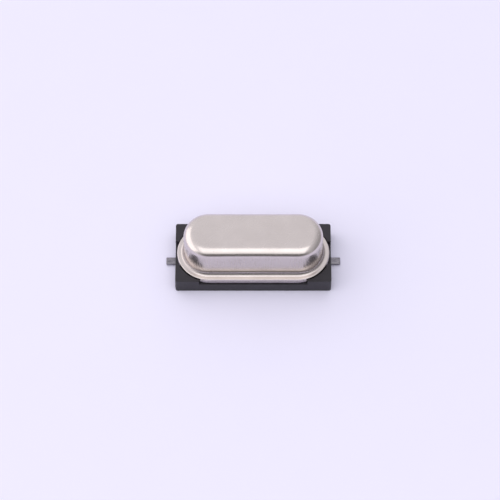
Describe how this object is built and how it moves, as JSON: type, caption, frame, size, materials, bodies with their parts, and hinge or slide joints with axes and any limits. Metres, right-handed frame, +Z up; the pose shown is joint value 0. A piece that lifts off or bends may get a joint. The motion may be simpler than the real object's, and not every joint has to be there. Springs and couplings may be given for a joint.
{
  "type": "crystal resonator",
  "caption": "Quartz crystal unit in a low oval metal can, welded to a header on a black moulded base with flat solder terminals under its ends. Sets the clock frequency of a circuit.",
  "frame": {"origin": "centre of the footprint in the solder plane, at the height of the terminals' undersides", "axes": "+X along the length, from one terminal to the other; +Z up, away from the circuit board; +Y across the width"},
  "size_m": [0.0128, 0.005, 0.0043],
  "materials": {
    "can_metal": "satin drawn nickel silver, slightly pink",
    "header_metal": "satin nickel plating",
    "base_plastic": "black glass-filled moulding, fine matt texture",
    "seal_glass": "fused, dark green",
    "terminal_metal": "dipped tin, semi-bright",
    "clip_metal": "rolled spring strip, bright",
    "quartz": "lapped and etched, slightly frosted",
    "silver_film": "evaporated silver, bright",
    "adhesive": "cured silver-filled resin"
  },
  "bodies": {
    "root": {"can": "can_metal", "header": "header_metal", "base": "base_plastic", "glass_seal_left": "seal_glass", "glass_seal_right": "seal_glass", "lead_left": "terminal_metal", "lead_right": "terminal_metal", "clip_left": "clip_metal", "clip_right": "clip_metal", "quartz_strip": "quartz", "electrode_top": "silver_film", "electrode_bottom": "silver_film", "adhesive_left": "adhesive", "adhesive_right": "adhesive"}
  },
  "joints": []
}
